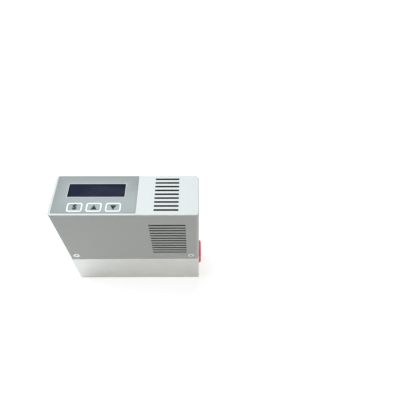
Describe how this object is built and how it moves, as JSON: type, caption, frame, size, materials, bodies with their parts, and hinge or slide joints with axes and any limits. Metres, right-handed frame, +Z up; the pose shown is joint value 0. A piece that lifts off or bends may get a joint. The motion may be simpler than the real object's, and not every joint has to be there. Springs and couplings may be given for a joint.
{
  "type": "mass flow controller",
  "caption": "Compact thermal gas mass flow controller: metal base with capped gas ports, vented cover, top display window with keys and a side signal plug.",
  "frame": {"origin": "centre of the base's bottom face, midway between its two threaded mounting holes", "axes": "+X from the gas inlet to the gas outlet, -Y out of the front, +Z up"},
  "size_m": [0.0897, 0.028, 0.0794],
  "materials": {
    "base_steel": "satin",
    "cover_metal": "fine matt",
    "stainless": "satin",
    "screw_steel": "bright",
    "red_plastic": "soft gloss",
    "seal_rubber": "matt",
    "filter_metal": "sintered",
    "magnetic_steel": "satin",
    "copper_winding": "enamelled",
    "bobbin_plastic": "matt",
    "lead_insulation": "matt",
    "board_green": "solder mask",
    "component_black": "matt",
    "sensor_plastic": "matt",
    "flex_amber": "polyimide film",
    "socket_plastic": "matt",
    "connector_shell": "nickel plated",
    "insulator_black": "matt",
    "pin_gold": "gold flashed",
    "window_tint": "gloss",
    "film_grey": "fine satin",
    "module_dark": "matt",
    "key_plastic": "matt"
  },
  "bodies": {
    "root": {"sensor_block": "base_steel", "valve_block": "base_steel", "block_seal": "seal_rubber", "sensor_seals": "seal_rubber", "sleeve_seal": "seal_rubber", "block_screws": "screw_steel", "inlet_filter": "filter_metal", "flow_element": "stainless", "inlet_plug": "red_plastic", "outlet_plug": "red_plastic", "sensor_base": "stainless", "sensor_tube": "stainless", "sensor_windings": "copper_winding", "sensor_shell": "sensor_plastic", "sensor_screws": "screw_steel", "valve_seat": "stainless", "valve_sleeve": "stainless", "valve_core": "magnetic_steel", "valve_spring": "stainless", "valve_plate": "stainless", "valve_screws": "screw_steel", "coil_bobbin": "bobbin_plastic", "coil_winding": "copper_winding", "coil_yoke": "magnetic_steel", "coil_nut": "screw_steel", "valve_leads": "lead_insulation", "main_board": "board_green", "board_brackets": "stainless", "board_screws": "screw_steel", "main_components": "component_black", "signal_shell": "connector_shell", "signal_insulator": "insulator_black", "signal_pins": "pin_gold", "jack_posts": "connector_shell", "connector_board": "board_green", "cover": "cover_metal", "cover_screws": "screw_steel", "display_window": "window_tint", "keypad_film": "film_grey", "display_studs": "stainless", "display_board": "board_green", "display_screws": "screw_steel", "display_module": "module_dark", "key_switches": "key_plastic", "sensor_link": "flex_amber", "display_link": "flex_amber", "signal_link": "flex_amber", "link_sockets": "socket_plastic"},
    "plunger": {"valve_plunger": "magnetic_steel", "plunger_disc": "seal_rubber"},
    "set_key": {"set_key_stem": "key_plastic"},
    "up_key": {"up_key_stem": "key_plastic"},
    "down_key": {"down_key_stem": "key_plastic"}
  },
  "joints": [
    {"name": "plunger_lift", "type": "slide", "parent": "root", "child": "plunger", "axis": [0, 0, 1], "range_m": [0, 0.0004], "stiffness_N_per_m": 300, "springref_m": -0.003, "deforming": ["valve_spring"]},
    {"name": "set_key_press", "type": "slide", "parent": "root", "child": "set_key", "axis": [0, 0, -1], "range_m": [0, 0.00025], "stiffness_N_per_m": 400, "springref_m": -0.001},
    {"name": "up_key_press", "type": "slide", "parent": "root", "child": "up_key", "axis": [0, 0, -1], "range_m": [0, 0.00025], "stiffness_N_per_m": 400, "springref_m": -0.001},
    {"name": "down_key_press", "type": "slide", "parent": "root", "child": "down_key", "axis": [0, 0, -1], "range_m": [0, 0.00025], "stiffness_N_per_m": 400, "springref_m": -0.001}
  ]
}
